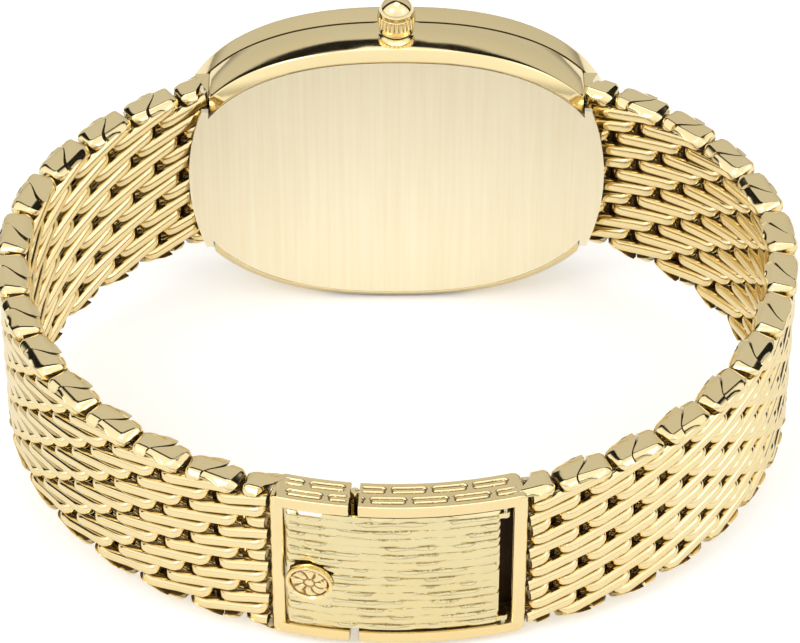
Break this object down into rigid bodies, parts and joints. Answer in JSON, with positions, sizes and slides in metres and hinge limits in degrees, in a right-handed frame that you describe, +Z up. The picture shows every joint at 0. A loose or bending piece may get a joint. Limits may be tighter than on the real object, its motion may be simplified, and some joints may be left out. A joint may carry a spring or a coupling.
{
  "type": "wristwatch",
  "caption": "Oval gold wristwatch, closed and standing on its edge, with a woven coil bracelet, a folding clasp with a hinged cover, and a crown on the side.",
  "frame": {"origin": "bottom centre of the watch's bounding box, on the surface that it stands on", "axes": "+X along the case's long axis, +Y from the clasp towards the dial, +Z up, close to the crown's axis, which leans by the angle at which the closed watch rests on its lower edges"},
  "size_m": [0.0594, 0.0494, 0.0292],
  "materials": {
    "gold": "polished yellow gold",
    "gold_satin": "yellow gold brushed along the crown's axis",
    "sapphire": "clear polished",
    "dial_lacquer": "satin",
    "hand_gold": "polished",
    "movement_brass": "gilt",
    "movement_steel": "satin",
    "seal_rubber": "matte"
  },
  "bodies": {
    "case": {"case_middle": "gold", "case_back": "gold_satin", "bezel": "gold", "crystal": "sapphire", "dial": "dial_lacquer", "hour_markers": "hand_gold", "movement_ring": "movement_brass", "main_plate": "movement_brass", "train_bridge": "movement_brass", "balance_cock": "movement_brass", "movement_screws": "movement_steel", "end_link_left": "gold", "end_link_right": "gold", "lug_screws": "movement_steel"},
    "minute_hand_set": {"minute_hand": "hand_gold", "cannon_pinion": "movement_steel"},
    "hour_hand_set": {"hour_hand": "hand_gold", "hour_wheel": "movement_brass"},
    "fourth_wheel_body": {"fourth_wheel": "movement_brass"},
    "third_wheel_body": {"third_wheel": "movement_brass"},
    "center_wheel_body": {"center_wheel": "movement_brass"},
    "escape_wheel_body": {"escape_wheel": "movement_steel"},
    "barrel_body": {"mainspring_barrel": "movement_brass"},
    "ratchet_body": {"ratchet_wheel": "movement_steel"},
    "fork_body": {"pallet_fork": "movement_steel"},
    "balance_body": {"balance_wheel": "movement_brass"},
    "crown_seal": {"crown_gasket": "seal_rubber"},
    "crown_and_stem": {"crown": "gold", "winding_stem": "movement_steel"},
    "clasp_left": {"clasp_left_frame": "gold"},
    "clasp_right": {"clasp_right_frame": "gold", "clasp_pins": "movement_steel"},
    "clasp_cover_body": {"clasp_cover": "gold", "clasp_emblem": "gold"},
    "clasp_middle": {"clasp_middle_leaf": "gold"},
    "clasp_inner": {"clasp_inner_leaf": "gold"},
    "left_rows_01_body": {"left_rows_01": "gold"},
    "left_rows_02_body": {"left_rows_02": "gold"},
    "left_rows_03_body": {"left_rows_03": "gold"},
    "left_rows_04_body": {"left_rows_04": "gold"},
    "left_rows_05_body": {"left_rows_05": "gold"},
    "left_rows_06_body": {"left_rows_06": "gold"},
    "left_rows_07_body": {"left_rows_07": "gold"},
    "left_rows_08_body": {"left_rows_08": "gold"},
    "left_rows_09_body": {"left_rows_09": "gold"},
    "left_rows_10_body": {"left_rows_10": "gold"},
    "left_rows_11_body": {"left_rows_11": "gold"},
    "left_rows_12_body": {"left_rows_12": "gold"},
    "right_rows_01_body": {"right_rows_01": "gold"},
    "right_rows_02_body": {"right_rows_02": "gold"},
    "right_rows_03_body": {"right_rows_03": "gold"},
    "right_rows_04_body": {"right_rows_04": "gold"},
    "right_rows_05_body": {"right_rows_05": "gold"},
    "right_rows_06_body": {"right_rows_06": "gold"},
    "right_rows_07_body": {"right_rows_07": "gold"},
    "right_rows_08_body": {"right_rows_08": "gold"},
    "right_rows_09_body": {"right_rows_09": "gold"},
    "right_rows_10_body": {"right_rows_10": "gold"},
    "right_rows_11_body": {"right_rows_11": "gold"},
    "right_rows_12_body": {"right_rows_12": "gold"}
  },
  "joints": [
    {"name": "cover_turn", "type": "hinge", "parent": "clasp_right", "child": "clasp_cover_body", "pos_m": [0.00749, -0.02264, 0.00773], "axis": [0, -0.1269, 0.9919], "range_deg": [0, 100]},
    {"name": "middle_leaf_turn", "type": "hinge", "parent": "clasp_right", "child": "clasp_middle", "pos_m": [-0.00306, -0.02208, 0.0078], "axis": [0, -0.1269, 0.9919], "range_deg": [0, 95]},
    {"name": "inner_leaf_turn", "type": "hinge", "parent": "clasp_middle", "child": "clasp_inner", "pos_m": [0.00578, -0.02145, 0.00788], "axis": [0, -0.1269, 0.9919], "range_deg": [-95, 0]},
    {"name": "minute_hand_turn", "type": "hinge", "parent": "case", "child": "minute_hand_set", "pos_m": [0, 0.01994, 0.01317], "axis": [0, 0.9919, 0.1269], "continuous": true},
    {"name": "hour_hand_turn", "type": "hinge", "parent": "case", "child": "hour_hand_set", "pos_m": [0, 0.01994, 0.01317], "axis": [0, 0.9919, 0.1269], "continuous": true},
    {"name": "fourth_wheel_turn", "type": "hinge", "parent": "case", "child": "fourth_wheel_body", "pos_m": [0.00382, 0.01878, 0.01087], "axis": [0, 0.9919, 0.1269], "continuous": true},
    {"name": "third_wheel_turn", "type": "hinge", "parent": "case", "child": "third_wheel_body", "pos_m": [0.00154, 0.01885, 0.01034], "axis": [0, 0.9919, 0.1269], "continuous": true},
    {"name": "center_wheel_turn", "type": "hinge", "parent": "case", "child": "center_wheel_body", "pos_m": [0, 0.01851, 0.01299], "axis": [0, 0.9919, 0.1269], "continuous": true},
    {"name": "barrel_turn", "type": "hinge", "parent": "case", "child": "barrel_body", "pos_m": [-0.00328, 0.0182, 0.01544], "axis": [0, 0.9919, 0.1269], "continuous": true},
    {"name": "escape_wheel_turn", "type": "hinge", "parent": "case", "child": "escape_wheel_body", "pos_m": [0.00542, 0.01862, 0.01215], "axis": [0, 0.9919, 0.1269], "continuous": true},
    {"name": "fork_rock", "type": "hinge", "parent": "case", "child": "fork_body", "pos_m": [0.00593, 0.01834, 0.01433], "axis": [0, 0.9919, 0.1269], "range_deg": [-5, 5]},
    {"name": "balance_swing", "type": "hinge", "parent": "case", "child": "balance_body", "pos_m": [0.00418, 0.01795, 0.01733], "axis": [0, 0.9919, 0.1269], "range_deg": [-135, 135], "stiffness_Nm_per_rad": 0.0000004},
    {"name": "crown_pull", "type": "slide", "parent": "case", "child": "crown_seal", "axis": [0, -0.1269, 0.9919], "range_m": [0, 0.0008]},
    {"name": "crown_turn", "type": "hinge", "parent": "crown_seal", "child": "crown_and_stem", "pos_m": [0, 0.01817, 0.02635], "axis": [0, -0.1269, 0.9919], "continuous": true},
    {"name": "ratchet_turn", "type": "hinge", "parent": "case", "child": "ratchet_body", "pos_m": [-0.00328, 0.0182, 0.01544], "axis": [0, 0.9919, 0.1269], "continuous": true},
    {"name": "left_hinge_01", "type": "hinge", "parent": "case", "child": "left_rows_01_body", "pos_m": [-0.01694, 0.01876, 0.01302], "axis": [0, 0.1269, -0.9919], "range_deg": [0, 4]},
    {"name": "left_hinge_02", "type": "hinge", "parent": "left_rows_01_body", "child": "left_rows_02_body", "pos_m": [-0.02058, 0.01639, 0.01272], "axis": [0, 0.1269, -0.9919], "range_deg": [0, 9.8]},
    {"name": "left_hinge_03", "type": "hinge", "parent": "left_rows_02_body", "child": "left_rows_03_body", "pos_m": [-0.02376, 0.01345, 0.01234], "axis": [0, 0.1269, -0.9919], "range_deg": [0, 11.5]},
    {"name": "left_hinge_04", "type": "hinge", "parent": "left_rows_03_body", "child": "left_rows_04_body", "pos_m": [-0.02626, 0.00995, 0.01189], "axis": [0, 0.1269, -0.9919], "range_deg": [0, 13.5]},
    {"name": "left_hinge_05", "type": "hinge", "parent": "left_rows_04_body", "child": "left_rows_05_body", "pos_m": [-0.02788, 0.00597, 0.01138], "axis": [0, 0.1269, -0.9919], "range_deg": [0, 15.2]},
    {"name": "left_hinge_06", "type": "hinge", "parent": "left_rows_05_body", "child": "left_rows_06_body", "pos_m": [-0.0284, 0.00168, 0.01084], "axis": [0, 0.1269, -0.9919], "range_deg": [0, 13.3]},
    {"name": "left_hinge_07", "type": "hinge", "parent": "left_rows_06_body", "child": "left_rows_07_body", "pos_m": [-0.0279, -0.0026, 0.01029], "axis": [0, 0.1269, -0.9919], "range_deg": [0, 11.2]},
    {"name": "left_hinge_08", "type": "hinge", "parent": "left_rows_07_body", "child": "left_rows_08_body", "pos_m": [-0.02658, -0.00668, 0.00977], "axis": [0, 0.1269, -0.9919], "range_deg": [0, 10.8]},
    {"name": "left_hinge_09", "type": "hinge", "parent": "left_rows_08_body", "child": "left_rows_09_body", "pos_m": [-0.0245, -0.01046, 0.00928], "axis": [0, 0.1269, -0.9919], "range_deg": [0, 10.2]},
    {"name": "left_hinge_10", "type": "hinge", "parent": "left_rows_09_body", "child": "left_rows_10_body", "pos_m": [-0.02178, -0.01382, 0.00885], "axis": [0, 0.1269, -0.9919], "range_deg": [0, 9.6]},
    {"name": "left_hinge_11", "type": "hinge", "parent": "left_rows_10_body", "child": "left_rows_11_body", "pos_m": [-0.01852, -0.01668, 0.00849], "axis": [0, 0.1269, -0.9919], "range_deg": [0, 9]},
    {"name": "left_hinge_12", "type": "hinge", "parent": "left_rows_11_body", "child": "left_rows_12_body", "pos_m": [-0.01486, -0.019, 0.00819], "axis": [0, 0.1269, -0.9919], "range_deg": [0, 8.5]},
    {"name": "left_clasp_hinge", "type": "hinge", "parent": "left_rows_12_body", "child": "clasp_left", "pos_m": [-0.0109, -0.02076, 0.00797], "axis": [0, 0.1269, -0.9919], "range_deg": [0, 6.1]},
    {"name": "right_hinge_01", "type": "hinge", "parent": "case", "child": "right_rows_01_body", "pos_m": [0.01694, 0.01876, 0.01302], "axis": [0, -0.1269, 0.9919], "range_deg": [0, 4]},
    {"name": "right_hinge_02", "type": "hinge", "parent": "right_rows_01_body", "child": "right_rows_02_body", "pos_m": [0.02058, 0.01639, 0.01272], "axis": [0, -0.1269, 0.9919], "range_deg": [0, 9.8]},
    {"name": "right_hinge_03", "type": "hinge", "parent": "right_rows_02_body", "child": "right_rows_03_body", "pos_m": [0.02376, 0.01345, 0.01234], "axis": [0, -0.1269, 0.9919], "range_deg": [0, 11.5]},
    {"name": "right_hinge_04", "type": "hinge", "parent": "right_rows_03_body", "child": "right_rows_04_body", "pos_m": [0.02626, 0.00995, 0.01189], "axis": [0, -0.1269, 0.9919], "range_deg": [0, 13.5]},
    {"name": "right_hinge_05", "type": "hinge", "parent": "right_rows_04_body", "child": "right_rows_05_body", "pos_m": [0.02788, 0.00597, 0.01138], "axis": [0, -0.1269, 0.9919], "range_deg": [0, 15.2]},
    {"name": "right_hinge_06", "type": "hinge", "parent": "right_rows_05_body", "child": "right_rows_06_body", "pos_m": [0.0284, 0.00168, 0.01084], "axis": [0, -0.1269, 0.9919], "range_deg": [0, 13.3]},
    {"name": "right_hinge_07", "type": "hinge", "parent": "right_rows_06_body", "child": "right_rows_07_body", "pos_m": [0.0279, -0.0026, 0.01029], "axis": [0, -0.1269, 0.9919], "range_deg": [0, 11.2]},
    {"name": "right_hinge_08", "type": "hinge", "parent": "right_rows_07_body", "child": "right_rows_08_body", "pos_m": [0.02658, -0.00668, 0.00977], "axis": [0, -0.1269, 0.9919], "range_deg": [0, 10.8]},
    {"name": "right_hinge_09", "type": "hinge", "parent": "right_rows_08_body", "child": "right_rows_09_body", "pos_m": [0.0245, -0.01046, 0.00928], "axis": [0, -0.1269, 0.9919], "range_deg": [0, 10.2]},
    {"name": "right_hinge_10", "type": "hinge", "parent": "right_rows_09_body", "child": "right_rows_10_body", "pos_m": [0.02178, -0.01382, 0.00885], "axis": [0, -0.1269, 0.9919], "range_deg": [0, 9.6]},
    {"name": "right_hinge_11", "type": "hinge", "parent": "right_rows_10_body", "child": "right_rows_11_body", "pos_m": [0.01852, -0.01668, 0.00849], "axis": [0, -0.1269, 0.9919], "range_deg": [0, 9]},
    {"name": "right_hinge_12", "type": "hinge", "parent": "right_rows_11_body", "child": "right_rows_12_body", "pos_m": [0.01486, -0.019, 0.00819], "axis": [0, -0.1269, 0.9919], "range_deg": [0, 8.5]},
    {"name": "right_clasp_hinge", "type": "hinge", "parent": "right_rows_12_body", "child": "clasp_right", "pos_m": [0.0109, -0.02076, 0.00797], "axis": [0, -0.1269, 0.9919], "range_deg": [0, 6.1]}
  ],
  "couplings": [
    {"joint": "hour_hand_turn", "follows": "minute_hand_turn", "ratio": 0.083333},
    {"joint": "third_wheel_turn", "follows": "fourth_wheel_turn", "ratio": -0.15385},
    {"joint": "center_wheel_turn", "follows": "fourth_wheel_turn", "ratio": 0.019231},
    {"joint": "barrel_turn", "follows": "fourth_wheel_turn", "ratio": -0.0032051},
    {"joint": "escape_wheel_turn", "follows": "fourth_wheel_turn", "ratio": -6.8571},
    {"joint": "ratchet_turn", "follows": "crown_turn", "ratio": 0.5},
    {"joint": "inner_leaf_turn", "follows": "middle_leaf_turn", "ratio": -1}
  ]
}
